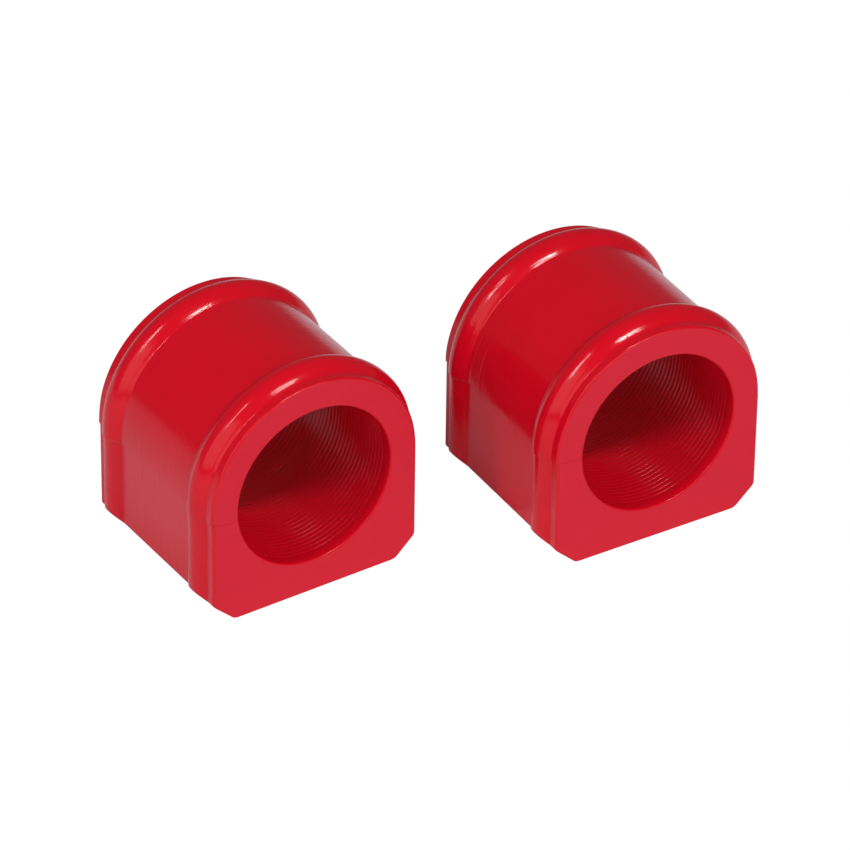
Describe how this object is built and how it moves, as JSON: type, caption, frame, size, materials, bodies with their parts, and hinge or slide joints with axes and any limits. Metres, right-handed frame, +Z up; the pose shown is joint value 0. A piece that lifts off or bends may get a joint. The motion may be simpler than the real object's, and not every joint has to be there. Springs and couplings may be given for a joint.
{
  "type": "sway bar bushing pair",
  "caption": "Split D-shaped polyurethane bushings for a sway bar: flat base, round arch, a bore for the bar and a beaded flange at each end. A slit in one wall opens over the bar.",
  "frame": {"origin": "centre of the left bushing's flat base", "axes": "+Z up from the flat bases, Y along the left bushing's bore with its front end face towards -Y, +X towards the right bushing"},
  "size_m": [0.1087, 0.0588, 0.0457],
  "materials": {
    "polyurethane": "satin"
  },
  "bodies": {
    "left_base": {"left_bushing_base": "polyurethane"},
    "left_arch": {"left_bushing_arch": "polyurethane"},
    "right_base": {"right_bushing_base": "polyurethane"},
    "right_arch": {"right_bushing_arch": "polyurethane"}
  },
  "joints": [
    {"name": "left_slit_opening", "type": "hinge", "parent": "left_base", "child": "left_arch", "pos_m": [0.02325, 0, 0.0225], "axis": [0, 1, 0], "range_deg": [0, 50], "stiffness_Nm_per_rad": 0.5},
    {"name": "right_bushing_place", "type": "slide", "parent": "left_base", "child": "right_base", "axis": [-0.0436, -0.999, 0], "range_m": [0, 0.04]},
    {"name": "right_slit_opening", "type": "hinge", "parent": "right_base", "child": "right_arch", "pos_m": [0.08493, -0.02021, 0.0225], "axis": [0.0436, 0.999, 0], "range_deg": [0, 50], "stiffness_Nm_per_rad": 0.5}
  ]
}
